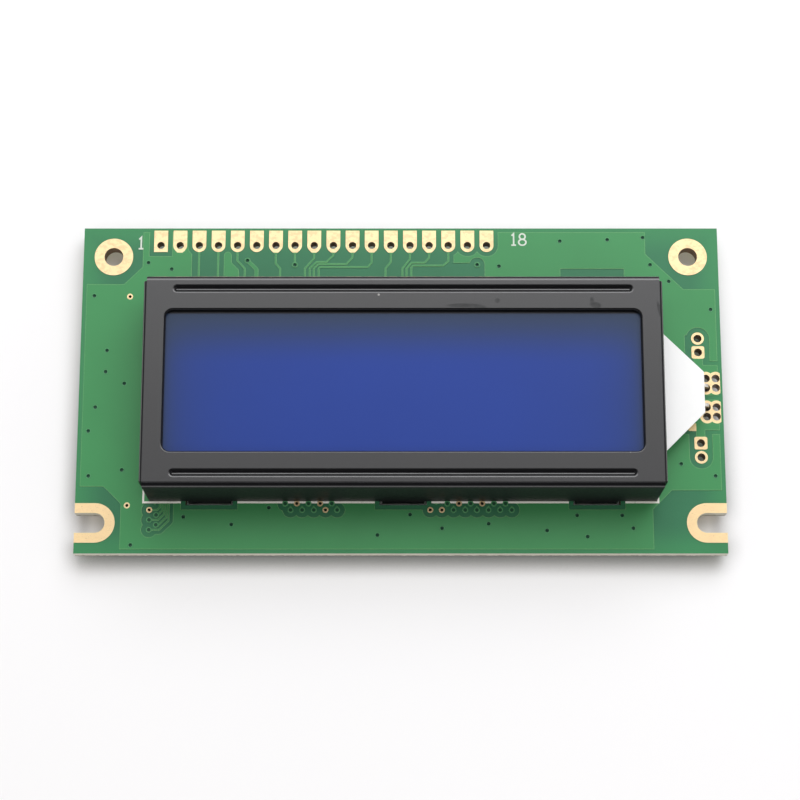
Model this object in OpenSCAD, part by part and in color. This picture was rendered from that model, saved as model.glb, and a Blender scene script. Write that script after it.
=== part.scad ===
// Graphic LCD module. A folded steel bezel clamps a liquid crystal cell and its
// edge-lit backlight on a circuit board that has a row of header holes along one side.
// Origin: middle of the surface it lies on, face up. X runs along the board,
// Y points to the header row and Z out of the display. Sizes are in millimetres.

/* [Board] */
// Length of the circuit board
board_l = 84; // [80:0.5:96]
// Width of the circuit board
board_w = 44; // [42:0.5:56]
// Thickness of the bare board
board_t = 1.6; // [0.8:0.1:2.4]
// Height of a copper layer with its mask above the bare board
copper_t = 0.06; // [0.03:0.01:0.12]
// Height of the white print above the mask
print_t = 0.03; // [0.01:0.01:0.06]
// Width of the printed outline
print_line = 0.25; // [0.15:0.01:0.4]
// Gap between the copper pour and the board's edge
pour_edge = 0.55; // [0.3:0.05:1]
// Wall of a plated hole
plating = 0.05; // [0.03:0.01:0.1]

/* [Screw fixings] */
// Diameter of the two round screw holes
screw_d = 2.5; // [2:0.1:3.2]
// Diameter of the gold ring round a screw hole
screw_ring = 5.1; // [4.2:0.1:5.6]
// Distance of a screw hole from the board's end
screw_inset_x = 4; // [3.2:0.1:5]
// Distance of a screw hole or slot from the board's long edge
screw_inset_y = 4; // [3.2:0.1:5]
// Width of the two open slots
slot_w = 2.6; // [2:0.1:3.2]
// Width of the gold pad round an open slot
slot_pad_w = 5.2; // [4.2:0.1:5.6]
// Distance of the round end's centre from the board's end
slot_depth = 2.6; // [2:0.1:4]

/* [Header row] */
// Number of header holes
header_n = 18; // [12:1:18]
// Distance between neighbouring header holes
header_pitch = 2.54; // [2:0.01:2.54]
// Distance of the first header hole from the board's end
header_start = 10.2; // [9.8:0.1:12]
// Distance of the header holes from the board's long edge
header_inset = 2.4; // [2:0.1:3]
// Diameter of a plated header hole
header_d = 1; // [0.8:0.05:1.2]
// Width of a header pad
header_pad = 1.82; // [1.5:0.02:1.84]
// Gap between a header pad and the board's edge
header_pad_edge = 0.33; // [0.2:0.01:0.6]

/* [Bezel] */
// Length of the bezel
bezel_l = 66.2; // [64.5:0.1:68]
// Width of the bezel
bezel_w = 27.7; // [27:0.1:29]
// Height of the bezel from its foot to its face
bezel_h = 8.4; // [7.8:0.1:9.6]
// Thickness of the steel sheet
sheet = 0.5; // [0.4:0.05:0.6]
// Outer radius of the folds
fold_r = 0.7; // [0.65:0.05:0.9]
// Length of the display window
window_l = 60.5; // [54:0.5:61]
// Width of the display window
window_w = 18.5; // [16:0.5:19]
// Corner radius of the display window
window_r = 1; // [0.5:0.1:2]
// Width of the two pressed grooves
groove_w = 0.6; // [0.5:0.05:0.9]
// Length of the two pressed grooves
groove_l = 58.2; // [40:0.2:60]
// Distance of a groove from the bezel's long edge
groove_inset = 1.8; // [1.7:0.05:2]
// Width of a tab that holds the bezel to the board
tab_w = 5.4; // [4:0.1:7]
// Distance between neighbouring tabs
tab_pitch = 25; // [20:0.5:26]
// Length of a tab's folded foot on the rear
tab_foot = 2; // [1.2:0.1:3]
// Shift of the bezel along the board
panel_x = 0.3; // [-0.5:0.1:0.5]
// Shift of the bezel across the board
panel_y = -1.3; // [-2:0.1:-0.8]

/* [Display cell] */
// Thickness of each sheet of glass
glass_t = 1.1; // [0.7:0.1:1.1]
// Thickness of a polariser film
polariser_t = 0.2; // [0.1:0.05:0.25]
// Thickness of the seal between the two sheets
seal_t = 0.1; // [0.05:0.01:0.2]
// Width of the seal
seal_w = 1.2; // [0.8:0.1:2]
// Width of an elastomer connector strip
strip_w = 2; // [1.6:0.1:2.2]
// Distance between neighbouring contact fingers
finger_pitch = 1; // [0.8:0.05:2]

/* [Backlight] */
// Thickness of the light guide
guide_t = 2.05; // [1.6:0.05:2.6]
// Thickness of the films above and below the light guide
film_t = 0.3; // [0.1:0.05:0.4]
// Wall of the backlight's housing
housing_wall = 1.4; // [1:0.1:1.6]
// Distance of the white tab's tip from the board's end
nose_inset = 2.8; // [2.6:0.1:3.4]
// Width of the white tab at its tip
nose_tip_w = 5.4; // [4.6:0.1:6]
// Overhang of the white tab beyond the light guide under it
nose_over = 0.7; // [0.4:0.1:1]
// Diameter of the supply holes beside the tab
supply_d = 1.05; // [0.8:0.05:1.1]

/* [Rear side] */
// Height of the epoxy over a driver chip
blob_h = 1.5; // [1.4:0.1:2.5]
// Diameter of the epoxy over a driver chip
blob_d = 15; // [12:0.5:16]
// Distance between the two driver chips
blob_pitch = 34; // [32:0.5:40]
// Diameter of a via
via_d = 0.4; // [0.3:0.05:0.5]

/* [Hidden] */
$fn = 48;
cut = 1;

// Levels, from the surface it lies on upwards
z_board = blob_h;
z_top = z_board + board_t;
z_deck = z_top + copper_t;
z_foot = z_deck + print_t;
z_face = z_foot + bezel_h;
groove_r = groove_w / 2;
bead_r = groove_r + sheet;
bead_play = 0.02;
lip_r = 0.5;
lip_bite = 0.002;
roll_r = 0.25;
lip_low = lip_r - lip_bite;
lip_y = sqrt(pow(groove_r + lip_r - lip_bite, 2) - pow(lip_low, 2));
lip_z = lip_low * groove_r / (groove_r + lip_r);
z_glass = z_face - bead_r - bead_play;
z_seal = z_glass - glass_t;
z_rear_glass = z_seal - seal_t;
z_rear_film = z_rear_glass - glass_t;
z_housing = z_rear_film - polariser_t;
z_guide = z_foot + film_t;
z_guide_top = z_guide + guide_t;

// Places on the board
half_l = board_l / 2;
half_w = board_w / 2;
screw_x = half_l - screw_inset_x;
screw_y = half_w - screw_inset_y;
slot_x = half_l - slot_depth;
header_y = half_w - header_inset;
function pin_x(pin) = -half_l + header_start + (pin - 1) * header_pitch;
bezel_back = panel_y + bezel_w / 2;
bezel_front = panel_y - bezel_w / 2;
bezel_left = panel_x - bezel_l / 2;

// Bezel, its corner reliefs and the slots for its tabs
fold_in = fold_r - sheet;
slot_play = 0.05;
relief_x = 0.42;
relief_y = 0.75;
tab_side = 0.35;
tab_out = 0.5;
tab_in = fold_in + slot_play;
groove_y = bezel_w / 2 - groove_inset;
groove_reach = groove_l / 2 - groove_r;
tab_rows = [-tab_pitch, 0, tab_pitch];

// Display cell, sized by the room inside the bezel
cell_gap = 0.4;
ledge_gap = 0.9;
strip_gap = 0.05;
polariser_end = 0.8;
rear_film_edge = 0.3;
strip_end = 1;
finger_edge = 0.2;
cell_l = bezel_l - 2 * (sheet + cell_gap);
cell_w = bezel_w - 2 * (sheet + cell_gap);
rear_w = 2 * (groove_y - strip_w / 2 - ledge_gap);
strip_l = cell_l - 2 * strip_end;
finger_n = floor((strip_l - 2 * strip_end) / finger_pitch);
finger_w = finger_pitch / 2;
finger_l = strip_w - 2 * finger_edge;

// Backlight, sized by the strips beside it
film_gap = 0.2;
housing_l = cell_l;
housing_w = 2 * (groove_y - strip_w / 2 - strip_gap);
guide_l = housing_l - 2 * (housing_wall + film_gap);
guide_w = housing_w - 2 * (housing_wall + film_gap);
nose_step = 0.5;
nose_w = guide_w - 2 * nose_step;
nose_x = half_l - nose_inset;
nose_root = panel_x + housing_l / 2 - housing_wall;

// Supply pads beside the white tab, mirrored about the bezel's middle line
supply_inset = 3.05;
supply_x = half_l - supply_inset;
supply_pad = 1.68;
supply_near = 6.13;
supply_far = 8.02;
supply_round = 0.25;
supply_clear = 1.5;
supply_side = 1.7;
supply_step = 0.45;
supply_reach = 0.9;
supply_band = 0.55;
supply_stub = 0.5;
split_gap = 0.6;
clover_inset = 1.5;
clover_x = half_l - clover_inset;
clover_y = 1.94;
clover_pitch = 1.27;
clover_pad = 1.8;
clover_rear = 1.6;
clover_edge = 0.3;
test_pad = 1;
test_pad_x = supply_x - 1.05;
test_pad_y = panel_y - 4;
corners = [[-1, -1], [1, -1], [-1, 1], [1, 1]];

// Lamp in the tip of the light guide
led_w = 3;
led_l = 1.2;
led_h = 1.5;
led_gap = 0.1;
lead = 0.45;
lead_out = 0.9;
lead_x = clover_x - clover_pitch / 2;
lead_y = clover_y - clover_pitch / 2;
led_x = nose_x - nose_over - led_gap;
solder_d = 1.7;
solder_tip = 0.72;
solder_h = 0.7;

// Rear parts
die = [5, 3.2, 0.4];
chip = [2, 1.25, 0.55];
chip_cap = 0.4;
chip_step = 0.05;
chip_solder_l = 0.5;
chip_solder_h = 0.45;
chip_room = 1;
resistor_back = 2;
capacitor_h = 0.85;
chip_pitch = 3.6;
resistor_n = 6;
capacitor_n = 3;
blob_x = [-blob_pitch / 2, blob_pitch / 2];
crown_cut = 0.7;
dome_h = blob_h + crown_cut;
dome_r = (blob_d * blob_d / 4 + dome_h * dome_h) / (2 * dome_h);

// Vias. Side and back ones count from the board's ends, front and back ones from its long edges
via_ring = 0.78;
via_clear = 1;
left_vias = [[1.6, 12.6], [3.5, 5.1], [3.4, 2.2], [5.9, 0.6], [2.2, -2.6], [1.4, -5.8],
    [5.9, -11], [1.6, -11.8]];
right_vias = [[5.7, -10.2], [1.3, -11.8], [1.2, 10.7]];
front_vias = [[-34.7, 1.1], [-28, 4.8], [-21.8, 3.8], [-17, 6], [1.2, 5.1], [-3, 2.4], [5.3, 3.3],
    [11.3, 3.9], [18.8, 3], [22.7, 5], [28.5, 5], [24, 2.2], [29.9, 3.3]];
back_left_vias = [[8.6, 4.8], [11.7, 5.7], [55, 5.3]];
back_right_vias = [[20.9, 1.8], [14.6, 1.6], [9.9, 1.3], [9, 5.1], [6.6, 7.4]];
row_pitch = 1.5;
row_low = bezel_front - 1.15;
row_high = bezel_front - 0.3;
row_a_x = [-14.2, -14.9];
row_b_x = [3.8, 6];
row_a = concat([for (i = [0:4]) [row_a_x[0] + i * row_pitch, row_low]],
    [for (i = [0:4]) [row_a_x[1] + i * row_pitch, row_high]]);
row_b = concat([for (i = [0:7]) [row_b_x[0] + i * row_pitch, row_low]],
    [for (i = [0:5]) [row_b_x[1] + i * row_pitch, row_high]]);

// Fan of five tracks from the vias in the front left corner
fan_n = 5;
fan_x = bezel_left + 0.4;
fan_step = 0.9;
fan_y = row_low;
fan_drop = 0.65;
fan_end = bezel_left + 1.75;
fan_pitch = 0.29;
fan_knee = [0.35, 0.21];
function fan_via(i) = [fan_x + fan_step * (i % 2), fan_y - i * fan_drop];
function fan_bend(i) = fan_knee[0] + i * fan_knee[1];
function fan_track(i) = let (x = fan_end + i * fan_pitch, v = fan_via(i), d = fan_bend(i))
    [v, [x - d, v[1]], [x, v[1] + d], [x, bezel_front]];
fan_vias = [for (i = [1:fan_n - 1]) fan_via(i)];

// Two vias behind the header: the pin beside it, then sideways and down from its hole
pin_vias = [for (v = [[8, 0, 2.7], [5, 1.35, 2.1]]) [pin_x(v[0]) + v[1], header_y - v[2]]];
wide_track = 0.5;
wide_run = 1.2;
finger_track = 1;
finger_top = 1.4;
finger_knee = 2.6;
finger_run = 1;

// A via in a bare ring of its own, and the tongue of the pour beside it
lone_via = [pin_x(16) + 3.8, header_y - 2.7];
tongue_end = 0.7;
tongue_low = 0.25;

// Open gold vias and all others, which the mask covers
gold_vias = concat([[bezel_left - 2.9, half_w - 9.5], [-half_l + 6.7, -half_w + 6.3], fan_via(0)],
    [row_a[3], row_a[6], row_a[8], row_b[0], row_b[1], row_b[9], row_b[11]]);
island_vias = concat(fan_vias, pin_vias, [lone_via], [for (i = [0, 1, 2, 4, 5, 7, 9]) row_a[i]],
    [for (i = [2:8]) row_b[i]], [row_b[10], row_b[12], row_b[13]]);
plain_vias = concat([for (v = left_vias) [-half_l + v[0], v[1]]],
    [for (v = right_vias) [half_l - v[0], v[1]]],
    [for (v = front_vias) [v[0], -half_w + v[1]]],
    [for (v = back_left_vias) [-half_l + v[0], half_w - v[1]]],
    [for (v = back_right_vias) [half_l - v[0], half_w - v[1]]]);

// Tracks from the header: the pin, then steps sideways and down from its hole
track_w = 0.24;
routes = [
    [3, [[0, 3]]], [4, [[0, 3]]], [5, [[0, 2.1], [1, 3.2]]], [7, [[0, 2.5], [0.6, 3.2]]],
    [9, [[0, 1.8], [-1.2, 3.2]]], [10, [[0, 1.4], [-0.9, 2.3], [-2.2, 2.3], [-3.1, 3.2]]],
    [11, [[0, 1.7], [-0.8, 2.6], [-4.5, 2.6], [-5.1, 3.2]]],
    [12, [[0, 2.4], [-0.5, 3], [-6.8, 3], [-7, 3.2]]],
    [13, [[0, 2.3], [-0.7, 3.2]]], [14, [[0, 1.9], [-1, 3.2]]],
    [15, [[0, 1.7], [-0.6, 2.4], [-2.3, 2.4], [-3, 3.2]]],
    [16, [[0, 2.2], [-0.7, 2.8], [-4.7, 2.8], [-4.9, 3.1]]]];

// Bare corners of the pour: sideways, lengthways and chamfer, from the board's corner
bare_corners = [[-1, 1, 7.85, 7.8, 2.4], [1, 1, 9.6, 8.5, 4.9],
    [-1, -1, 5.9, 8.8, 2.3], [1, -1, 9.5, 8.3, 2.5]];
pad_clear = 0.6;
track_clear = 0.45;
slot_clear = 0.6;
bare_side = 1.6;
bare_tab = 1.5;
bare_tab_back = 3.8;
teardrop = 0.02;
drop_open = 0.07;
print_room = [0.1, 0.15];
// Header pins between which the board is bare, and the pins whose pads run to a point
bare_pins = [2, 16];
drop_pins = [7, 15];

// Box centred on X and Y that stands on z
module slab(length, width, height, z) {
    translate([-length / 2, -width / 2, z]) cube([length, width, height]);
}

module on_panel() {
    translate([panel_x, panel_y, 0]) children();
}

// Rectangle with round corners
module round_rect(length, width, radius) {
    square([length - 2 * radius, width], center = true);
    square([length, width - 2 * radius], center = true);
    for (c = corners) translate([c[0] * (length / 2 - radius), c[1] * (width / 2 - radius)]) circle(radius);
}

// Strip of constant width along a list of points, with round joints
module track(points, width) {
    for (p = points) translate(p) circle(d = width);
    for (i = [1:len(points) - 1]) {
        step = points[i] - points[i - 1];
        translate(points[i - 1]) rotate(atan2(step[1], step[0]))
            translate([0, -width / 2]) square([norm(step), width]);
    }
}

// Plated hole: pads on both faces joined by a barrel. The child is the front pad
module plated(points, hole, rear_pad) {
    difference() {
        union() {
            translate([0, 0, z_top]) linear_extrude(copper_t) children();
            for (p = points) translate([p[0], p[1], z_board - copper_t]) {
                cylinder(d = rear_pad, h = copper_t);
                cylinder(d = hole + 2 * plating, h = board_t + 2 * copper_t);
            }
        }
        drillings(points, hole);
    }
}

// Round drillings through the board
module drillings(points, hole) {
    for (p = points) translate([p[0], p[1], z_board - cut]) cylinder(d = hole, h = board_t + 2 * cut);
}

function runs_to_point(pin) = pin == bare_pins[0] || (pin >= drop_pins[0] && pin <= drop_pins[1]);

// Outline of a header pad, grown by a clearance
module header_pad_shape(pin, grow = 0) {
    w = header_pad + 2 * grow;
    reach = header_inset - header_pad_edge + grow;
    translate([pin_x(pin), header_y]) {
        translate([-w / 2, 0]) square([w, reach]);
        if (pin == 1) square(w, center = true);
        else circle(d = w);
        if (runs_to_point(pin)) intersection() {
            rotate(-135) square(w / 2 + teardrop);
            translate([-w / 2, -w / 2 - drop_open]) square([w, w]);
        }
    }
}

// Outline of the open screw slot, or of its gold pad
module open_slot(side, width) {
    translate([side * slot_x, -screw_y]) {
        circle(d = width);
        translate([side > 0 ? 0 : -slot_depth, -width / 2]) square([slot_depth, width]);
    }
}

function clover_holes(side) = [for (c = corners)
    [clover_x + c[0] * clover_pitch / 2, panel_y + side * clover_y + c[1] * clover_pitch / 2]];
function supply_holes(side) = [for (y = [supply_near, supply_far]) [supply_x, panel_y + side * y]];

module clover_shape(side) {
    intersection() {
        union() {
            for (p = clover_holes(side)) translate(p) circle(d = clover_pad);
            translate([clover_x, panel_y + side * clover_y]) square(clover_pitch, center = true);
        }
        square([board_l - 2 * clover_edge, board_w], center = true);
    }
}

// Slots in the board for the bezel's tabs, grown by a clearance
module tab_slots(grow = 0) {
    for (x = tab_rows, s = [-1, 1]) translate([panel_x + x, panel_y + s * bezel_w / 2])
        translate([-tab_w / 2 - tab_side - grow, s > 0 ? -sheet - tab_in : -tab_out - grow])
            square([tab_w + 2 * (tab_side + grow), sheet + tab_in + tab_out + grow]);
}

module circuit_board() {
    color("darkolivegreen") difference() {
        slab(board_l, board_w, board_t, z_board);
        drillings([for (s = [-1, 1]) [s * screw_x, screw_y]], screw_d + 2 * plating);
        drillings([for (i = [1:header_n]) [pin_x(i), header_y]], header_d + 2 * plating);
        for (s = [-1, 1]) drillings(concat(supply_holes(s), clover_holes(s)), supply_d + 2 * plating);
        drillings(gold_vias, via_d + 2 * plating);
        drillings(concat(island_vias, plain_vias), via_d);
        translate([0, 0, z_board - cut]) linear_extrude(board_t + 2 * cut) {
            for (s = [-1, 1]) {
                open_slot(s, slot_w);
                translate([s * half_l - cut / 2, -screw_y - slot_w / 2]) square([cut, slot_w]);
            }
            tab_slots();
        }
    }
}

// Bare gap round one pair of supply pads, open to the board's edge
module supply_gap(side) {
    inner = supply_near - supply_pad / 2 - supply_reach;
    stem = supply_pad - 2 * supply_round;
    translate([supply_x, panel_y]) mirror([0, side > 0 ? 0 : 1]) difference() {
        union() {
            translate([0, supply_far]) circle(supply_clear);
            translate([-supply_clear, inner]) square([2 * supply_clear, supply_far - inner]);
            if (side > 0) translate([-supply_side, inner])
                square([supply_side, supply_far + supply_step - inner]);
            translate([-supply_clear - supply_stub, inner])
                square([supply_inset + supply_clear + supply_stub, supply_band]);
        }
        translate([-stem / 2, inner - cut]) square([stem, supply_near - inner + cut]);
    }
}

// Bare areas of the front pour
module front_gaps() {
    on_panel() square([bezel_l - 2 * sheet, bezel_w - 2 * sheet], center = true);
    for (c = bare_corners) scale([c[0], c[1]]) translate([half_l, half_w])
        polygon([[0, 0], [-c[2], 0], [-c[2], -c[3] + c[4]], [-c[2] + c[4], -c[3]], [0, -c[3]]]);
    bare_x = pin_x(bare_pins[0]) + bare_side;
    tongue_x = pin_x(bare_pins[1]) + tongue_end;
    translate([bare_x, panel_y]) square([tongue_x - bare_x, half_w - panel_y]);
    translate([bare_x, panel_y]) square([lone_via[0] - bare_x, lone_via[1] + tongue_low - panel_y]);
    translate([bare_x, panel_y]) square([lone_via[0] + via_clear - bare_x, lone_via[1] - panel_y]);
    translate(lone_via) circle(via_clear);
    for (i = [1:header_n]) if (i != bare_pins[0]) header_pad_shape(i, pad_clear);
    for (v = concat(row_a, row_b, fan_vias, [fan_via(0)])) translate(v) circle(via_clear);
    for (i = [0:fan_n - 1]) track(fan_track(i), track_w + 2 * track_clear);
    for (s = [-1, 1]) {
        supply_gap(s);
        open_slot(s, slot_pad_w + 2 * pad_clear);
    }
    translate([test_pad_x - 2 * test_pad, panel_y - split_gap / 2])
        square([half_l - test_pad_x + 2 * test_pad, split_gap]);
    tab_slots(slot_clear);
    translate([panel_x + tab_pitch - tab_w / 2 - bare_tab, bezel_back - sheet])
        square([tab_w + 2 * bare_tab, sheet + bare_tab_back]);
}

module front_tracks() {
    for (r = routes) if (r[0] <= header_n) {
        x = pin_x(r[0]);
        knees = [for (k = r[1]) [x + k[0], header_y - k[1]]];
        last = knees[len(knees) - 1];
        track(concat([[x, header_y]], knees, [[last[0], bezel_back]]), track_w);
    }
    track([[pin_x(8), header_y], pin_vias[0]], track_w);
    track([pin_vias[1], pin_vias[1] + [wide_run, -wide_run], [pin_vias[1][0] + wide_run, bezel_back]],
        wide_track);
    finger_x = (pin_x(4) + pin_x(5)) / 2;
    finger_fork = [finger_x, header_y - finger_knee];
    track([[finger_x, header_y - finger_top], [finger_x, bezel_back]], finger_track);
    track([finger_fork, finger_fork + [finger_run, -finger_run], [finger_x + finger_run, bezel_back]],
        finger_track);
    for (i = [0:fan_n - 1]) track(fan_track(i), track_w);
    for (i = [1:header_n]) if (runs_to_point(i)) translate([pin_x(i), header_y])
        rotate(-135) square(header_pad / 2);
    for (v = island_vias) translate(v) {
        circle(d = via_ring);
        if (v[1] == row_low) rotate(45) square(via_ring / 2);
    }
}

// Gold shapes on the front, which the masked copper stays clear of
module front_gold() {
    for (i = [1:header_n]) header_pad_shape(i);
    for (s = [-1, 1]) {
        translate([s * screw_x, screw_y]) circle(d = screw_ring);
        clover_shape(s);
        supply_shapes(s);
    }
    test_pad_shape();
    for (v = gold_vias) translate(v) circle(d = via_ring);
}

module supply_shapes(side) {
    for (p = supply_holes(side)) translate(p) {
        if (p == supply_holes(side)[0]) round_rect(supply_pad, supply_pad, supply_round);
        else circle(d = supply_pad);
    }
}

module test_pad_shape() {
    translate([test_pad_x, test_pad_y]) square(test_pad, center = true);
}

module front_copper() {
    color("mediumseagreen") translate([0, 0, z_top]) linear_extrude(copper_t) difference() {
        union() {
            difference() {
                square([board_l - 2 * pour_edge, board_w - 2 * pour_edge], center = true);
                front_gaps();
            }
            front_tracks();
        }
        front_gold();
        for (v = concat(island_vias, plain_vias)) translate(v) circle(d = via_d);
        tab_slots();
    }
}

module rear_copper() {
    color("seagreen") translate([0, 0, z_board - copper_t]) linear_extrude(copper_t) difference() {
        square([board_l - 2 * pour_edge, board_w - 2 * pour_edge], center = true);
        for (i = [1:header_n]) translate([pin_x(i), header_y]) circle(d = header_pad + 2 * pad_clear);
        for (s = [-1, 1]) {
            translate([s * screw_x, screw_y]) circle(d = screw_ring + 2 * pad_clear);
            open_slot(s, slot_pad_w + 2 * pad_clear);
            for (p = concat(supply_holes(s), clover_holes(s)))
                translate(p) circle(d = clover_pad + 2 * pad_clear);
            translate([blob_x[(s + 1) / 2], panel_y]) circle(d = blob_d + 2 * pad_clear);
        }
        for (v = gold_vias) translate(v) circle(d = via_ring + pad_clear);
        for (v = concat(island_vias, plain_vias)) translate(v) circle(d = via_d);
        tab_slots(slot_clear);
        for (x = tab_rows, s = [-1, 1])
            translate([panel_x + x, panel_y + s * (bezel_w / 2 - sheet - fold_in - tab_foot / 2)])
                square([tab_w + 2 * pad_clear, tab_foot + 2 * pad_clear], center = true);
        resistor_places() square([chip[0] + 2 * chip_room, chip[1] + pad_clear], center = true);
        capacitor_places() square([chip[0] + 2 * chip_room, chip[1] + pad_clear], center = true);
    }
}

module header_pads() {
    color("gold") for (i = [1:header_n])
        plated([[pin_x(i), header_y]], header_d, header_pad) header_pad_shape(i);
}

module mounting_pads() {
    color("gold") {
        for (s = [-1, 1]) plated([[s * screw_x, screw_y]], screw_d, screw_ring)
            translate([s * screw_x, screw_y]) circle(d = screw_ring);
        for (s = [-1, 1], z = [z_top, z_board - copper_t])
            translate([0, 0, z]) linear_extrude(copper_t) difference() {
                open_slot(s, slot_pad_w);
                open_slot(s, slot_w);
            }
    }
}

module backlight_pads() {
    color("gold") {
        for (s = [-1, 1]) {
            plated(clover_holes(s), supply_d, clover_rear) clover_shape(s);
            for (k = [0, 1]) plated([supply_holes(s)[k]], supply_d, supply_pad) intersection() {
                supply_shapes(s);
                translate(supply_holes(s)[k]) square(supply_pad, center = true);
            }
        }
        translate([0, 0, z_top]) linear_extrude(copper_t) test_pad_shape();
    }
}

module ringed_vias() {
    color("gold") for (v = gold_vias)
        plated([v], via_d, via_ring) translate(v) circle(d = via_ring);
}

module contact_fingers() {
    color("gold") for (s = [-1, 1], i = [0:finger_n - 1])
        translate([panel_x + (i - (finger_n - 1) / 2) * finger_pitch, panel_y + s * groove_y, 0])
            slab(finger_w, finger_l, copper_t, z_top);
}

module board_print() {
    outline_l = bezel_l + 2 * print_room[0];
    outline_w = bezel_w + 2 * print_room[1];
    color("white") translate([0, 0, z_deck]) linear_extrude(print_t) difference() {
        translate([0, panel_y]) square([outline_l + print_line, outline_w + print_line], center = true);
        translate([0, panel_y]) square([outline_l - print_line, outline_w - print_line], center = true);
        tab_slots(slot_clear);
        for (v = concat(row_a, row_b)) translate(v) circle(d = via_ring);
    }
}

// Section of the sheet folded down at both sides
module fold_section(width) {
    difference() {
        fold_outline(width, bezel_h, fold_r);
        translate([0, -cut]) fold_outline(width - 2 * sheet, bezel_h - sheet + cut, fold_in);
    }
}

module fold_outline(width, height, radius) {
    translate([-width / 2, 0]) square([width, height - radius]);
    translate([-width / 2 + radius, 0]) square([width - 2 * radius, height]);
    for (s = [-1, 1]) translate([s * (width / 2 - radius), height - radius]) circle(radius);
}

// Half of a groove's section, from its middle to its rounded lip
module groove_half() {
    intersection() {
        circle(groove_r);
        translate([0, -groove_r]) square(groove_r);
    }
    difference() {
        translate([0, -lip_z]) square([lip_y, lip_z + cut]);
        translate([lip_y, -lip_low]) circle(lip_r);
    }
}

// What a pressed groove takes out of the face
module groove_hollow(side) {
    translate([0, side * groove_y, z_face]) {
        translate([-groove_reach, 0, 0]) rotate([90, 0, 90]) linear_extrude(2 * groove_reach) {
            groove_half();
            mirror([1, 0]) groove_half();
        }
        for (s = [-1, 1]) translate([s * groove_reach, 0, 0]) rotate_extrude() groove_half();
    }
}

// Round bar with ball ends under a groove
module groove_bead(side) {
    translate([0, side * groove_y, z_face]) {
        translate([-groove_reach, 0, 0]) rotate([0, 90, 0]) cylinder(r = bead_r, h = 2 * groove_reach);
        for (s = [-1, 1]) translate([s * groove_reach, 0, 0]) sphere(bead_r);
    }
}

// Section of what the rolled edge of the window takes out of the face, outwards from the edge
module roll_section() {
    difference() {
        translate([-roll_r, -roll_r]) square([2 * roll_r - lip_bite, roll_r + cut]);
        translate([roll_r - lip_bite, -roll_r + lip_bite]) circle(roll_r);
    }
}

// Rolled edge along the sides of the window and round its corners
module window_roll() {
    straight = [window_l - 2 * window_r, window_w - 2 * window_r];
    for (s = [0, 180]) rotate(s) {
        translate([-straight[0] / 2, -window_w / 2, 0]) rotate([90, 0, 90])
            linear_extrude(straight[0]) mirror([1, 0]) roll_section();
        translate([window_l / 2, straight[1] / 2, 0]) rotate([90, 0, 0])
            linear_extrude(straight[1]) roll_section();
    }
    for (c = corners) translate([c[0] * straight[0] / 2, c[1] * straight[1] / 2, 0])
        rotate_extrude() translate([window_r, 0]) roll_section();
}

// Strip folded at a right angle: down one leg, round the bend, along the other
module folded_strip(width, thick, down, along, inner) {
    rotate([90, 0, 90]) translate([0, 0, -width / 2]) linear_extrude(width) {
        translate([0, inner]) square([thick, down]);
        translate([thick + inner, -thick]) square([along, thick]);
        intersection() {
            translate([thick + inner, inner]) difference() {
                circle(thick + inner);
                circle(inner);
            }
            translate([0, -thick]) square([thick + inner, thick + inner]);
        }
    }
}

module bezel() {
    color("dimgray") on_panel() {
        difference() {
            union() {
                translate([-bezel_l / 2 + relief_x, 0, z_foot]) rotate([90, 0, 90])
                    linear_extrude(bezel_l - 2 * relief_x) fold_section(bezel_w);
                translate([0, bezel_w / 2 - relief_y, z_foot]) rotate([90, 0, 0])
                    linear_extrude(bezel_w - 2 * relief_y) fold_section(bezel_l);
                for (s = [-1, 1]) intersection() {
                    groove_bead(s);
                    slab(bezel_l, bezel_w - 2 * sheet, 2 * bead_r, z_face - 2 * bead_r);
                }
            }
            for (s = [-1, 1]) groove_hollow(s);
            translate([0, 0, z_face - sheet - cut]) linear_extrude(sheet + 2 * cut)
                round_rect(window_l, window_w, window_r);
            translate([0, 0, z_face]) window_roll();
            translate([bezel_l / 2, 0, z_foot - cut])
                slab(4 * sheet, nose_w + 2 * film_gap, z_guide_top + film_t + film_gap - z_foot + cut, 0);
        }
        for (x = tab_rows, s = [0, 180]) rotate(s) translate([x, -bezel_w / 2, z_board])
            folded_strip(tab_w, sheet, z_foot - z_board - fold_in, tab_foot, fold_in);
    }
}

module front_polariser() {
    color("midnightblue") on_panel()
        slab(cell_l - 2 * polariser_end, rear_w, polariser_t, z_glass);
}

module front_glass() {
    color("lightcyan") on_panel() slab(cell_l, cell_w, glass_t, z_seal);
}

module cell_seal() {
    color("khaki") on_panel() difference() {
        slab(cell_l, rear_w, seal_t, z_rear_glass);
        slab(cell_l - 2 * seal_w, rear_w - 2 * seal_w, seal_t + 2 * cut, z_rear_glass - cut);
    }
}

module rear_glass() {
    color("lightcyan") on_panel() slab(cell_l, rear_w, glass_t, z_rear_film);
}

module rear_polariser() {
    color("slategray") on_panel()
        slab(cell_l - 2 * rear_film_edge, rear_w - 2 * rear_film_edge, polariser_t, z_housing);
}

module zebra_strip(side) {
    color("darkslategray") on_panel() translate([0, side * groove_y, 0])
        slab(strip_l, strip_w, z_seal - z_deck, z_deck);
}

module front_zebra_strip() {
    zebra_strip(-1);
}

module back_zebra_strip() {
    zebra_strip(1);
}

module diffuser_sheet() {
    color("ivory") on_panel() slab(guide_l, guide_w, film_t, z_guide_top);
}

// Tapered nose with 45 degree flanks, from its root to its tip
module nose_shape(inset) {
    tip = nose_x - inset;
    wide = nose_w / 2 - inset;
    narrow = nose_tip_w / 2 - inset;
    flank = tip - (wide - narrow);
    translate([0, panel_y]) polygon([[nose_root, -wide], [max(flank, nose_root), -wide], [tip, -narrow],
        [tip, narrow], [max(flank, nose_root), wide], [nose_root, wide]]);
}

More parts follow.
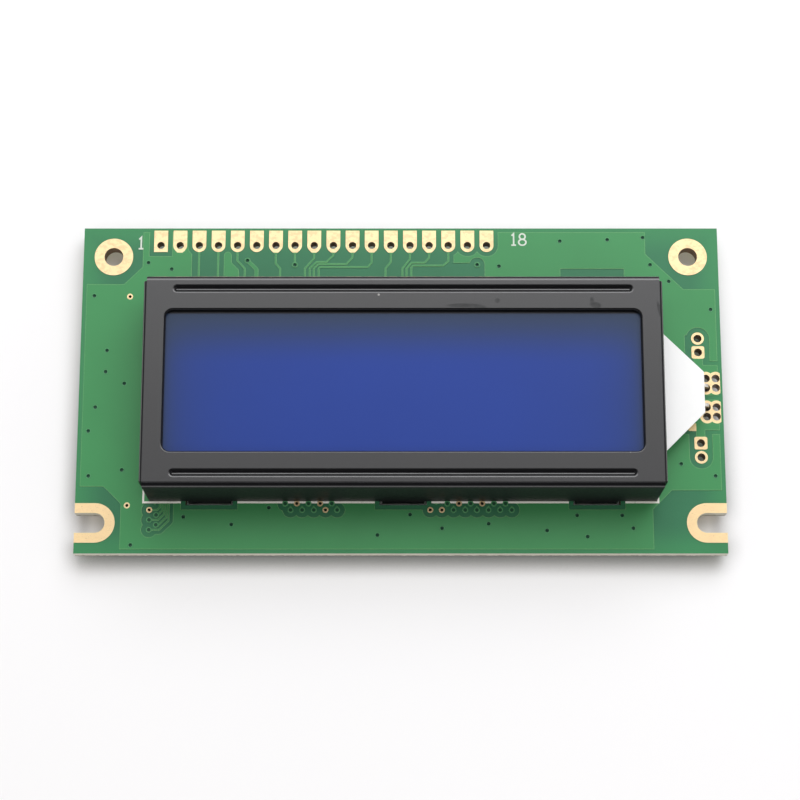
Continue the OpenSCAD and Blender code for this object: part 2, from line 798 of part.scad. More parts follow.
module guide_shape() {
    on_panel() square([guide_l, guide_w], center = true);
    nose_shape(nose_over);
    translate([panel_x, panel_y - nose_w / 2 + nose_over])
        square([nose_root - panel_x, nose_w - 2 * nose_over]);
}

module light_guide() {
    color("azure") translate([0, 0, z_guide]) linear_extrude(guide_t) difference() {
        guide_shape();
        translate([led_x - led_l - led_gap, panel_y - led_w / 2 - led_gap])
            square([led_l + cut, led_w + 2 * led_gap]);
    }
}

module reflector_sheet() {
    color("white") translate([0, 0, z_foot]) linear_extrude(film_t) guide_shape();
}

module backlight_housing() {
    color("whitesmoke") on_panel() difference() {
        slab(housing_l, housing_w, z_housing - z_top, z_top);
        slab(housing_l - 2 * housing_wall, housing_w - 2 * housing_wall,
            z_housing - z_top + 2 * cut, z_top - cut);
        translate([housing_l / 2, 0, 0])
            slab(4 * housing_wall, nose_w, z_guide_top + film_t - z_top + cut, z_top - cut);
    }
}

module tab_film() {
    color("white") translate([0, 0, z_guide_top]) linear_extrude(film_t) nose_shape(0);
}

module backlight_led() {
    color("lightyellow") translate([led_x - led_l, panel_y - led_w / 2, z_guide])
        cube([led_l, led_w, led_h]);
}

module led_leads() {
    bend = lead / 2;
    level = z_guide + led_h / 2 - lead / 2;
    color("silver") for (s = [-1, 1]) translate([lead_x + lead / 2, panel_y + s * lead_y, level])
        mirror([0, 0, 1]) rotate(90)
            folded_strip(lead, lead, level - bend - z_board + lead_out, lead_x - led_x - lead, bend);
}

module solder_joints() {
    color("lightgray") {
        for (s = [-1, 1]) translate([lead_x, panel_y + s * lead_y, 0]) difference() {
            translate([0, 0, z_board - copper_t - solder_h])
                cylinder(d1 = solder_tip, d2 = solder_d, h = solder_h);
            slab(lead, lead, z_board, 0);
        }
        resistor_places() chip_solder();
        capacitor_places() chip_solder();
    }
}

// Solder wedges at both ends of a chip
module chip_solder() {
    for (s = [0, 180]) rotate([0, 0, s]) translate([chip[0] / 2, chip[1] / 2, z_board]) rotate([90, 0, 0])
        linear_extrude(chip[1]) polygon([[0, 0], [chip_solder_l, 0], [0, -chip_solder_h]]);
}

module driver_chips() {
    color("dimgray") for (x = blob_x) translate([x, panel_y, 0])
        slab(die[0], die[1], die[2], z_board - die[2]);
}

// Low dome with a flat crown over a driver chip
module driver_blob(x) {
    color("black") translate([x, panel_y, 0]) difference() {
        intersection() {
            translate([0, 0, z_board - dome_h + dome_r]) sphere(dome_r);
            slab(blob_d, blob_d, blob_h, 0);
        }
        slab(die[0], die[1], die[2] + cut, z_board - die[2]);
    }
}

module left_driver_blob() {
    driver_blob(blob_x[0]);
}

module right_driver_blob() {
    driver_blob(blob_x[1]);
}

module resistor_places() {
    for (i = [0:resistor_n - 1])
        translate([(i - (resistor_n - 1) / 2) * chip_pitch, bezel_back + resistor_back, 0]) children();
}

module capacitor_places() {
    for (i = [0:capacitor_n - 1])
        translate([0, panel_y + (i - (capacitor_n - 1) / 2) * chip_pitch, 0]) children();
}

// Chip with raised end caps, hung under the board
module chip_body(height) {
    slab(chip[0] - 2 * chip_cap, chip[1] - 2 * chip_step, height - chip_step, z_board - height + chip_step);
    for (s = [-1, 1]) translate([s * (chip[0] - chip_cap) / 2, 0, 0])
        slab(chip_cap, chip[1], height, z_board - height);
}

module chip_resistors() {
    color("black") resistor_places() chip_body(chip[2]);
}

module chip_capacitors() {
    color("tan") capacitor_places() chip_body(capacitor_h);
}

circuit_board();
front_copper();
rear_copper();
header_pads();
mounting_pads();
backlight_pads();
ringed_vias();
contact_fingers();
board_print();
bezel();
front_polariser();
front_glass();
cell_seal();
rear_glass();
rear_polariser();
front_zebra_strip();
back_zebra_strip();
diffuser_sheet();
light_guide();
reflector_sheet();
backlight_housing();
tab_film();
backlight_led();
led_leads();
solder_joints();
driver_chips();
left_driver_blob();
right_driver_blob();
chip_resistors();
chip_capacitors();
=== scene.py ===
import math

import bmesh
import bpy
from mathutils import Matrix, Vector


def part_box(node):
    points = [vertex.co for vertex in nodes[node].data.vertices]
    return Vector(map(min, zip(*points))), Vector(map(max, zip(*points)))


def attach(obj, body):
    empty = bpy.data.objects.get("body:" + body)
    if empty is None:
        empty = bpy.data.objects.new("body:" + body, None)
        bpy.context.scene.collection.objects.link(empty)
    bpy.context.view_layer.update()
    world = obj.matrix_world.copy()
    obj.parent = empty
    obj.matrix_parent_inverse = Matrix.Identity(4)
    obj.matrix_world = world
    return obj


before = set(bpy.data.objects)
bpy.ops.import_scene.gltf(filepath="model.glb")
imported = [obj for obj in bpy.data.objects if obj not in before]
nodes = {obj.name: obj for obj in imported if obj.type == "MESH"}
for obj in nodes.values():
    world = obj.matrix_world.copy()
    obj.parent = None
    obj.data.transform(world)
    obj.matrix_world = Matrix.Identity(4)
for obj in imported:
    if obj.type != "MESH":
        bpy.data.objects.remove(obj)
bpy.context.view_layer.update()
mm = 0.001
boardLow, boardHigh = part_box("circuit_board")
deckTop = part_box("front_copper")[1].z  # masked copper on the front
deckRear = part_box("rear_copper")[0].z
print("frame loaded with", len(nodes), "nodes")


# small helpers for objects and shader trees

def addObject(name, data):
    made = bpy.data.objects.new(name, data)
    bpy.context.scene.collection.objects.link(made)
    return made


def addMesh(name, mesh, material):
    data = bpy.data.meshes.new(name)
    mesh.to_mesh(data)
    mesh.free()
    data.materials.append(material)
    return addObject(name, data)


def put(tree, socket, value):
    if isinstance(value, bpy.types.NodeSocket):
        tree.links.new(value, socket)
    else:
        socket.default_value = value


def addNode(tree, kind, inputs=None, **settings):
    made = tree.nodes.new(kind)
    for name, value in settings.items():
        setattr(made, name, value)
    for name, value in (inputs or {}).items():
        put(tree, made.inputs[name], value)
    return made


def calc(tree, operation, first, second=0.0, third=0.0):
    made = addNode(tree, "ShaderNodeMath", operation=operation)
    for socket, value in zip(made.inputs, (first, second, third)):
        put(tree, socket, value)
    return made.outputs[0]


def ramp(tree, value, low, high, start=0.0, end=1.0):
    made = addNode(tree, "ShaderNodeMapRange", interpolation_type="SMOOTHSTEP")
    for socket, number in zip(made.inputs, (value, low, high, start, end)):
        put(tree, socket, number)
    return made.outputs[0]


def choose(tree, factor, first, second):
    made = addNode(tree, "ShaderNodeMix", {0: factor, 2: first, 3: second}, data_type="FLOAT")
    return made.outputs[0]


def blend(tree, factor, first, second):
    made = addNode(tree, "ShaderNodeMix", {0: factor, 6: first, 7: second}, data_type="RGBA")
    return made.outputs[2]


def opaque(colour):
    return (*colour, 1.0)


def surfacePoint(tree):
    return addNode(tree, "ShaderNodeTexCoord").outputs["Object"]


def axes(tree):
    return addNode(tree, "ShaderNodeSeparateXYZ", {"Vector": surfacePoint(tree)}).outputs


# groups that several finishes share

def newGroup(name, inputs, outputs):
    group = bpy.data.node_groups.new(name, "ShaderNodeTree")
    for label, kind, value in inputs:
        socket = group.interface.new_socket(label, in_out="INPUT", socket_type="NodeSocket" + kind)
        socket.default_value = value
    for label, kind in outputs:
        group.interface.new_socket(label, in_out="OUTPUT", socket_type="NodeSocket" + kind)
    take = group.nodes.new("NodeGroupInput").outputs
    give = group.nodes.new("NodeGroupOutput").inputs
    return group, take, give


def makeGrain():
    # fine even grain, for orange peel in paint and the tooth of films
    group, take, give = newGroup("fineGrain", [("Scale", "Float", 8000.0), ("Detail", "Float", 3.0)],
                                 [("Grain", "Float")])
    noise = addNode(group, "ShaderNodeTexNoise", {
        "Vector": surfacePoint(group), "Scale": take["Scale"], "Detail": take["Detail"], "Roughness": 0.6})
    put(group, give["Grain"], noise.outputs["Fac"])
    return group


def makeDrift():
    # slow change of tone over a surface
    group, take, give = newGroup("toneDrift", [("Colour", "Color", (0.5, 0.5, 0.5, 1)),
                                               ("Scale", "Float", 150.0), ("Amount", "Float", 0.1)],
                                 [("Colour", "Color")])
    noise = addNode(group, "ShaderNodeTexNoise", {
        "Vector": surfacePoint(group), "Scale": take["Scale"], "Detail": 4.0})
    swing = calc(group, "SUBTRACT", noise.outputs["Fac"], 0.5)
    swing = calc(group, "MULTIPLY", swing, take["Amount"])
    tone = addNode(group, "ShaderNodeHueSaturation", {
        "Color": take["Colour"], "Value": calc(group, "MULTIPLY_ADD", swing, 2.0, 1.0)})
    put(group, give["Colour"], tone.outputs["Color"])
    return group


def makeSides():
    # walls that stand upright: cut board edges, hole walls, the rims of pads
    group, take, give = newGroup("standingWalls", [("Softness", "Float", 0.2), ("Middle", "Float", 0.5)],
                                 [("Mask", "Float")])
    normal = addNode(group, "ShaderNodeNewGeometry").outputs["True Normal"]
    up = addNode(group, "ShaderNodeSeparateXYZ", {"Vector": normal}).outputs["Z"]
    up = calc(group, "ABSOLUTE", up)
    high = calc(group, "ADD", take["Middle"], take["Softness"])
    low = calc(group, "SUBTRACT", take["Middle"], take["Softness"])
    put(group, give["Mask"], calc(group, "SUBTRACT", 1.0, ramp(group, up, low, high)))
    return group


def makeEdges():
    # where a corner is sharp enough to be touched and rubbed
    group, take, give = newGroup("touchedEdges", [("Radius", "Float", 0.2 * mm), ("Gain", "Float", 3.0)],
                                 [("Mask", "Float"), ("Normal", "Vector")])
    soft = addNode(group, "ShaderNodeBevel", {"Radius": take["Radius"]}, samples=4).outputs["Normal"]
    flat = addNode(group, "ShaderNodeNewGeometry").outputs["Normal"]
    turn = addNode(group, "ShaderNodeVectorMath", {0: soft, 1: flat}, operation="DOT_PRODUCT")
    gap = calc(group, "SUBTRACT", 1.0, turn.outputs["Value"])
    gap = calc(group, "MULTIPLY", gap, take["Gain"])
    put(group, give["Mask"], calc(group, "MINIMUM", calc(group, "MAXIMUM", gap, 0.0), 1.0))
    put(group, give["Normal"], soft)
    return group


def makeSpecks():
    # loose dust: a few small dots
    group, take, give = newGroup("dustSpecks", [("Scale", "Float", 700.0), ("Share", "Float", 0.1),
                                                ("Size", "Float", 0.06)], [("Mask", "Float")])
    cells = addNode(group, "ShaderNodeTexVoronoi", {"Vector": surfacePoint(group), "Scale": take["Scale"]})
    near = ramp(group, cells.outputs["Distance"], 0.0, take["Size"], 1.0, 0.0)
    pick = addNode(group, "ShaderNodeSeparateXYZ", {"Vector": cells.outputs["Color"]}).outputs["X"]
    kept = calc(group, "LESS_THAN", pick, take["Share"])
    put(group, give["Mask"], calc(group, "MULTIPLY", near, kept))
    return group


def makeSmudges():
    # finger marks and rubbed patches, long in one direction
    group, take, give = newGroup("rubMarks", [("Scale", "Float", 120.0), ("Level", "Float", 0.6),
                                              ("Stretch", "Vector", (1.0, 1.0, 1.0))], [("Mask", "Float")])
    long = addNode(group, "ShaderNodeVectorMath", {0: surfacePoint(group), 1: take["Stretch"]},
                   operation="MULTIPLY").outputs["Vector"]
    noise = addNode(group, "ShaderNodeTexNoise", {
        "Vector": long, "Scale": take["Scale"], "Detail": 6.0, "Roughness": 0.65})
    full = calc(group, "ADD", take["Level"], 0.12)  # fades in from the level to here
    put(group, give["Mask"], ramp(group, noise.outputs["Fac"], take["Level"], full))
    return group


groups = {"grain": makeGrain(), "drift": makeDrift(), "sides": makeSides(), "edges": makeEdges(),
          "specks": makeSpecks(), "smudges": makeSmudges()}
print("shared groups:", len(groups))


def use(tree, name, output, **inputs):
    made = addNode(tree, "ShaderNodeGroup", node_tree=groups[name])
    for label, value in inputs.items():
        put(tree, made.inputs[label], value)
    return made.outputs[output]


def newFinish(name, plain):
    material = bpy.data.materials.new(name)
    material.use_nodes = True
    tree = material.node_tree
    shader = tree.nodes["Principled BSDF"].inputs
    for socket, value in plain.items():
        shader[socket].default_value = value
    return material, tree, shader


def bump(tree, height, strength, depth, normal=None):
    made = addNode(tree, "ShaderNodeBump", {"Height": height, "Strength": strength, "Distance": depth})
    if normal:
        put(tree, made.inputs["Normal"], normal)
    return made.outputs["Normal"]


def mottle(tree, grain, rough, span=(0.3, 0.7)):
    # roughness from one value to another, over the middle of the grain
    return ramp(tree, grain, *span, *rough)


def addTooth(tree, shader, scale, rough, strength, depth, detail=3.0, span=(0.3, 0.7)):
    # grain in the roughness, and as a shallow bump
    grain = use(tree, "grain", "Grain", Scale=scale, Detail=detail)
    put(tree, shader["Roughness"], mottle(tree, grain, rough, span))
    put(tree, shader["Normal"], bump(tree, grain, strength, depth))


def dress(material, *names):
    for name in names:
        slots = nodes[name].data.materials
        slots.clear()
        slots.append(material)


# circuit board: green mask over glass fibre, sawn along its edges

board = {
    "mask": (0.026, 0.160, 0.072),  # mask over bare laminate
    "lit": (0.036, 0.216, 0.082),  # thin edge zone, where light comes through the laminate
    "litZone": 4.2 * mm,
    "fibre": (0.64, 0.62, 0.53),  # sawn edge
    "fibreDark": (0.20, 0.18, 0.14),
    "layers": 0.22,  # strength of the layers in the sawn edge
    "tornAndShadedTo": (0.27 * mm, 0.42 * mm),  # torn and shaded part fades out here, up from the rear face
    "ragged": 1.5 * mm,
    "tornShade": 0.8,
    "resin": (0.17, 0.10, 0.05),  # drilled walls
    "slots": (6.0 * mm, -15.0 * mm),  # in from the ends and in front of this: routed, so pale too
    "edge": 0.02 * mm,  # what lies this near the outline is sawn
    "rough": (0.36, 0.42),
    "sawnRough": 0.8,
    "tornDepth": 2.0,  # against the grain of the mask
    "spec": 0.45,
}


def edgeGaps(tree, point):
    # how far in from the board's ends and from its sides
    return [calc(tree, "SUBTRACT", reach, calc(tree, "ABSOLUTE", point[axis]))
            for axis, reach in (("X", boardHigh.x), ("Y", boardHigh.y))]


def boardFinish():
    material, tree, shader = newFinish("greenBoard", {"Specular IOR Level": board["spec"]})
    point = axes(tree)
    endGap, sideGap = edgeGaps(tree, point)
    rim = calc(tree, "MINIMUM", endGap, sideGap)
    glow = ramp(tree, rim, 0.0, board["litZone"], 1.0, 0.0)
    face = blend(tree, glow, opaque(board["mask"]), opaque(board["lit"]))
    face = use(tree, "drift", "Colour", Colour=face, Scale=180.0, Amount=0.10)
    # the sawn edge is pale, in fine layers, and torn along its lower side, where painted shade darkens it
    layers = use(tree, "smudges", "Mask", Scale=700.0, Stretch=(1.0, 1.0, 9.0), Level=0.50)
    layers = calc(tree, "MULTIPLY", layers, board["layers"])
    fibre = blend(tree, layers, opaque(board["fibre"]), opaque(board["fibreDark"]))
    ragged = use(tree, "grain", "Grain", Scale=1600.0, Detail=5.0)
    ragged = calc(tree, "SUBTRACT", ragged, 0.5)
    height = calc(tree, "SUBTRACT", point["Z"], boardLow.z)
    height = calc(tree, "MULTIPLY_ADD", ragged, -board["ragged"], height)
    tearAndShade = ramp(tree, height, *board["tornAndShadedTo"], 1.0, 0.0)
    # painted shade: the lower side of the sawn edge is darkened, with a ragged border
    fibre = blend(tree, calc(tree, "MULTIPLY", tearAndShade, board["tornShade"]), fibre, opaque(board["fibreDark"]))
    slots = calc(tree, "MULTIPLY", calc(tree, "LESS_THAN", endGap, board["slots"][0]),
                 calc(tree, "LESS_THAN", point["Y"], board["slots"][1]))
    outer = calc(tree, "MAXIMUM", slots, calc(tree, "LESS_THAN", rim, board["edge"]))
    wall = blend(tree, outer, opaque(board["resin"]), fibre)
    side = use(tree, "sides", "Mask", Softness=0.1)
    put(tree, shader["Base Color"], blend(tree, side, face, wall))
    grain = use(tree, "grain", "Grain", Scale=5200.0, Detail=2.0)
    put(tree, shader["Roughness"], calc(tree, "MAXIMUM", mottle(tree, grain, board["rough"]),
                                        calc(tree, "MULTIPLY", side, board["sawnRough"])))
    torn = calc(tree, "MULTIPLY", tearAndShade, side)
    relief = calc(tree, "MULTIPLY_ADD", torn, -board["tornDepth"], grain)
    put(tree, shader["Normal"], bump(tree, relief, strength=0.35, depth=0.03 * mm))
    return material


dress(boardFinish(), "circuit_board")

copper = {
    "green": (0.046, 0.252, 0.084),  # the same mask over copper: lighter and yellower
    "rim": (0.300, 0.560, 0.240),  # thin mask over the step at the pour's edge
    "rimShare": 0.65,
    "spec": 0.45,
    "tooth": {"scale": 4200.0, "rough": (0.32, 0.38), "strength": 0.25, "depth": 0.012 * mm},
}


def copperFinish():
    material, tree, shader = newFinish("maskedCopper", {"Specular IOR Level": copper["spec"]})
    face = use(tree, "drift", "Colour", Colour=opaque(copper["green"]), Scale=110.0, Amount=0.09)
    step = use(tree, "edges", "Mask", Radius=0.16 * mm, Gain=3.0)
    step = calc(tree, "MAXIMUM", step, use(tree, "sides", "Mask", Softness=0.2))
    step = calc(tree, "MULTIPLY", step, copper["rimShare"])
    put(tree, shader["Base Color"], blend(tree, step, face, opaque(copper["rim"])))
    addTooth(tree, shader, **copper["tooth"])
    return material


dress(copperFinish(), "front_copper", "rear_copper")

gold = {
    "plate": (0.95, 0.71, 0.39),
    "stain": (0.82, 0.54, 0.29),
    "stained": (0.15, 0.7),  # from the front of the board to the header
    "stainedOver": 10.0 * mm,  # to either side of the middle
    "rim": (1.0, 0.86, 0.50),  # painted highlight: a bright line along the edges of a pad
    "rimShare": 0.8,
    "wall": (0.22, 0.13, 0.06),  # hole walls and rims
    "metal": 0.45,  # thin and dull, so only in part
    "tooth": {"scale": 9000.0, "rough": (0.26, 0.46), "span": (0.25, 0.75), "strength": 0.3,
              "depth": 0.01 * mm},
}


def goldFinish():
    material, tree, shader = newFinish("goldPlate", {"Metallic": gold["metal"]})
    patch = use(tree, "smudges", "Mask", Scale=1500.0, Stretch=(0.8, 1.3, 1.0), Level=0.47)
    touched = ramp(tree, axes(tree)["Y"], -gold["stainedOver"], gold["stainedOver"], *gold["stained"])
    patch = calc(tree, "MULTIPLY", patch, touched)
    face = blend(tree, patch, opaque(gold["plate"]), opaque(gold["stain"]))
    face = use(tree, "drift", "Colour", Colour=face, Scale=500.0, Amount=0.06)
    # painted highlight along the pad's edges
    edge = use(tree, "edges", "Mask", Radius=0.14 * mm, Gain=2.5)
    face = blend(tree, calc(tree, "MULTIPLY", edge, gold["rimShare"]), face, opaque(gold["rim"]))
    side = use(tree, "sides", "Mask", Softness=0.1)
    put(tree, shader["Base Color"], blend(tree, side, face, opaque(gold["wall"])))
    addTooth(tree, shader, **gold["tooth"])
    return material


dress(goldFinish(), "header_pads", "mounting_pads", "backlight_pads", "ringed_vias", "contact_fingers")
print("board, copper and gold finished")

# printed ink: the outline and the numbers of the first and last pin

ink = {
    # the outline's white is lifted as painted light against the bezel's shade that falls on it
    "white": (0.94, 0.93, 0.87),
    "faint": (0.68, 0.74, 0.66),  # the numbers, printed thinner, and without the outline's painted light
    "thin": (0.42, 0.54, 0.42),
    "thinShare": 0.5,
    "stroke": 0.215 * mm,
    "height": 0.02 * mm,
    "overlap": 0.003 * mm,  # each further stroke lies this much higher
    "advance": 1.15,  # from digit to digit in mm
    "first": {"at": (-34.43, 19.12), "on": "board", "digits": "1"},
    "last": {"at": (14.98, 19.62), "on": "copper", "digits": "18"},
}


def inkFinish():
    material, tree, shader = newFinish("printedInk", {"Roughness": 0.7})
    patch = use(tree, "smudges", "Mask", Scale=2600.0, Level=0.56)
    patch = calc(tree, "MULTIPLY", patch, ink["thinShare"])
    # painted light: the outline is lighter than the numbers, against the bezel's shade
    numbers = calc(tree, "GREATER_THAN", axes(tree)["Y"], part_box("board_print")[1].y)
    tone = blend(tree, numbers, opaque(ink["white"]), opaque(ink["faint"]))
    put(tree, shader["Base Color"], blend(tree, patch, tone, opaque(ink["thin"])))
    grain = use(tree, "grain", "Grain", Scale=12000.0)
    put(tree, shader["Normal"], bump(tree, grain, strength=0.4, depth=0.01 * mm))
    return material


def circlePoint(centreX, centreY, reachX, reachY, share):
    turn = 2 * math.pi * share
    return centreX + reachX * math.cos(turn), centreY + reachY * math.sin(turn)


def oval(centreX, centreY, reachX, reachY, count=28):
    return [circlePoint(centreX, centreY, reachX, reachY, i / count) for i in range(count + 1)]


def digitLines(digit):
    # strokes of a serif number 1.65 mm high, from its foot upwards
    if digit == "1":
        return [[(-0.27, 1.32), (0.0, 1.62), (0.0, 0.04)], [(-0.32, 0.02), (0.30, 0.02)]]
    return [oval(0.0, 1.22, 0.38, 0.38), oval(0.0, 0.42, 0.48, 0.41)]


def inkStrip(mesh, points, width, low, high):
    # one closed prism along a line, with mitred corners
    path = [Vector(p) for p in points]
    ring = (path[0] - path[-1]).length < 1e-9
    path = path[:-1] if ring else path
    sharpest = 0.4  # a mitre reaches no further than this allows
    left, right = [], []
    for index, here in enumerate(path):
        before = path[index - 1] if ring or index else here
        after = path[(index + 1) % len(path)] if ring or index + 1 < len(path) else here
        one = (here - before).normalized() if before != here else (after - here).normalized()
        two = (after - here).normalized() if after != here else one
        middle = (one + two).normalized()
        reach = width / 2 / max(sharpest, middle.dot(one))
        left.append(here + Vector((-middle.y, middle.x)) * reach)
        right.append(here - Vector((-middle.y, middle.x)) * reach)
    outlines = [left, right] if ring else [left + right[::-1]]
    roof = [[mesh.verts.new((p.x, p.y, high)) for p in line] for line in outlines]
    foot = [[mesh.verts.new((p.x, p.y, low)) for p in line] for line in outlines]
    for upper, lower in zip(roof, foot):
        for k in range(len(upper)):
            mesh.faces.new((upper[k - 1], upper[k], lower[k], lower[k - 1]))
    for flat in (roof, foot):
        if ring:
            for k in range(len(path)):
                mesh.faces.new((flat[0][k - 1], flat[0][k], flat[1][k], flat[1][k - 1]))
        else:
            line, last = flat[0], 2 * len(path) - 1
            for k in range(len(path) - 1):
                mesh.faces.new((line[k], line[k + 1], line[last - 1 - k], line[last - k]))


def printNumber(name, spec):
    mesh = bmesh.new()
    low = boardHigh.z if spec["on"] == "board" else deckTop
    for place, digit in enumerate(spec["digits"]):
        left = spec["at"][0] + place * ink["advance"]
        for layer, line in enumerate(digitLines(digit)):
            points = [((left + x) * mm, (spec["at"][1] + y) * mm) for x, y in line]
            inkStrip(mesh, points, ink["stroke"], low, deckTop + ink["height"] + layer * ink["overlap"])
    bmesh.ops.recalc_face_normals(mesh, faces=mesh.faces)
    made = addMesh(name, mesh, printedInk)
    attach(made, "root")


printedInk = inkFinish()
dress(printedInk, "board_print")
printNumber("firstPinNumber", ink["first"])
printNumber("lastPinNumber", ink["last"])
print("print finished")

# masked vias: the mask sags into each small hole

tent = {
    "via": 0.4 * mm,
    "steps": 20,
    # reach and height in mm, from the middle outwards
    "sunk": ((0.0, -0.10), (0.08, -0.09), (0.15, -0.06), (0.195, -0.012), (0.21, 0.0012),
             (0.245, 0.0016), (0.285, 0.012), (0.32, 0.012), (0.365, 0.001)),
    "closed": ((0.0, 0.003), (0.10, 0.003), (0.19, 0.0032), (0.235, 0.0036), (0.27, 0.010),
               (0.30, 0.013), (0.34, 0.012), (0.38, 0.001)),
    # areas of vias that the mask closes flat: left, right, front and back in mm
    "closedAreas": ((-33.0, -31.0, -19.3, -16.6), (-15.4, -7.9, -16.7, -15.1),
                    (5.6, 14.8, -16.7, -15.1)),
    "dark": (0.005, 0.050, 0.026),
    "rim": (0.100, 0.360, 0.150),
    "rimFrom": (0.001 * mm, 0.011 * mm),  # height above the deck
}


def roundHoles(name, size):
    # middles of the round holes of one size, found from the walls of the solid
    near = 0.04 * mm
    steep = 0.3  # a wall's normal points up or down less than this
    mesh = bmesh.new()
    mesh.from_mesh(nodes[name].data)
    bmesh.ops.remove_doubles(mesh, verts=mesh.verts, dist=1e-6)
    walls = {f for f in mesh.faces if abs(f.normal.z) < steep}
    middles = []
    while walls:
        loop = [walls.pop()]
        for face in loop:
            for edge in face.edges:
                for other in edge.link_faces:
                    if other in walls:
                        walls.discard(other)
                        loop.append(other)
        points = [v.co for f in loop for v in f.verts]
        low = Vector(min(p[k] for p in points) for k in range(3))
        high = Vector(max(p[k] for p in points) for k in range(3))
        if abs(high.x - low.x - size) < near and abs(high.y - low.y - size) < near:
            middles.append((low + high) / 2)
    mesh.free()
    return sorted(middles, key=tuple)  # in the same order each run


def tentFinish():
    material, tree, shader = newFinish("saggedMask", {"Roughness": 0.4, "Specular IOR Level": 0.3})
    half = (deckTop - deckRear) / 2
    away = calc(tree, "ABSOLUTE", calc(tree, "SUBTRACT", axes(tree)["Z"], deckTop - half))
    low, high = tent["rimFrom"]
    raised = ramp(tree, away, half + low, half + high)
    tone = blend(tree, raised, opaque(tent["dark"]), opaque(tent["rim"]))
    put(tree, shader["Base Color"], use(tree, "drift", "Colour", Colour=tone, Scale=2500.0, Amount=0.3))
    return material


def addTent(mesh, middle, profile, level, side):
    # a dish turned about the via, on the front or on the rear
    steps = tent["steps"]
    rows = []
    for reach, height in profile[1:]:
        z = level + side * height * mm
        ring = [circlePoint(middle.x, middle.y, reach * mm, reach * mm, k / steps) for k in range(steps)]
        rows.append([mesh.verts.new((x, y, z)) for x, y in ring])
    centre = mesh.verts.new((middle.x, middle.y, level + side * profile[0][1] * mm))
    for k in range(steps):
        mesh.faces.new((centre, rows[0][k - 1], rows[0][k])[::side])
        for inner, outer in zip(rows, rows[1:]):
            mesh.faces.new((inner[k - 1], outer[k - 1], outer[k], inner[k])[::side])


def maskTents():
    mesh = bmesh.new()
    middles = roundHoles("circuit_board", tent["via"])
    for middle in middles:
        flat = any(left < middle.x / mm < right and front < middle.y / mm < back
                   for left, right, front, back in tent["closedAreas"])
        for level, side in ((deckTop, 1), (deckRear, -1)):
            addTent(mesh, middle, tent["closed" if flat else "sunk"], level, side)
    made = addMesh("maskTents", mesh, tentFinish())
    for face in made.data.polygons:
        face.use_smooth = True
    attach(made, "root")
    return len(middles)


print("mask sagged into", maskTents(), "vias")

# bezel: folded steel in black satin paint

bezel = {
    "paint": (0.023, 0.023, 0.024),
    # painted shade: the upright walls darker than the face, the bends darkest; the rubbed marks take the
    # walls' tone too
    "wallShadeAndMarks": (0.010, 0.012, 0.012),
    "bendShade": (0.003, 0.003, 0.004),
    "rubbed": (0.060, 0.060, 0.062),
    "dust": (0.42, 0.42, 0.42),
    "dustShare": 0.5,
    "steel": (0.30, 0.29, 0.28),
    "spec": 0.12,
    "rough": (0.37, 0.43),
    "smudgeRough": 0.10,
    "gloss": 0.22,  # roughness of the glossy top coat
    "coatIndex": 1.67,
    "corner": 0.14 * mm,
    # how far the sheet has turned down: middle and softness of the upward slope
    "slopes": {"turned": (0.965, 0.025), "dull": (0.89, 0.05), "footTop": (0.66, 0.04),
               "footEnd": (0.36, 0.04), "upright": (0.16, 0.12)},
    "marks": (  # middle, reach along and across in mm, turn in degrees
        (24.33, 9.13, 0.26, 0.50, 0), (24.77, 8.55, 0.75, 0.42, -12), (8.05, 8.49, 2.30, 0.28, 0),
        (9.82, 8.36, 1.10, 0.24, -6), (12.30, 9.13, 0.34, 0.32, 0), (32.88, 7.93, 0.24, 1.20, 11)),
    "markDull": 0.85,  # gloss lost in a mark
    "chip": (-2.81, 9.92, 0.15, 0.15, 0),  # bare spot beside the back groove
}


def spot(tree, point, x, y, along, across, turn):
    # soft oval patch at one place of the face
    inner, outer = 0.45, 1.3  # it fades out between these, as squares of its reach
    c, s = math.cos(math.radians(turn)), math.sin(math.radians(turn))
    along, across = along * mm, across * mm
    offX = calc(tree, "SUBTRACT", point["X"], x * mm)
    offY = calc(tree, "SUBTRACT", point["Y"], y * mm)
    u = calc(tree, "MULTIPLY_ADD", offX, c / along, calc(tree, "MULTIPLY", offY, s / along))
    v = calc(tree, "MULTIPLY_ADD", offX, -s / across, calc(tree, "MULTIPLY", offY, c / across))
    away = calc(tree, "MULTIPLY_ADD", u, u, calc(tree, "MULTIPLY", v, v))
    return ramp(tree, away, inner, outer, 1.0, 0.0)


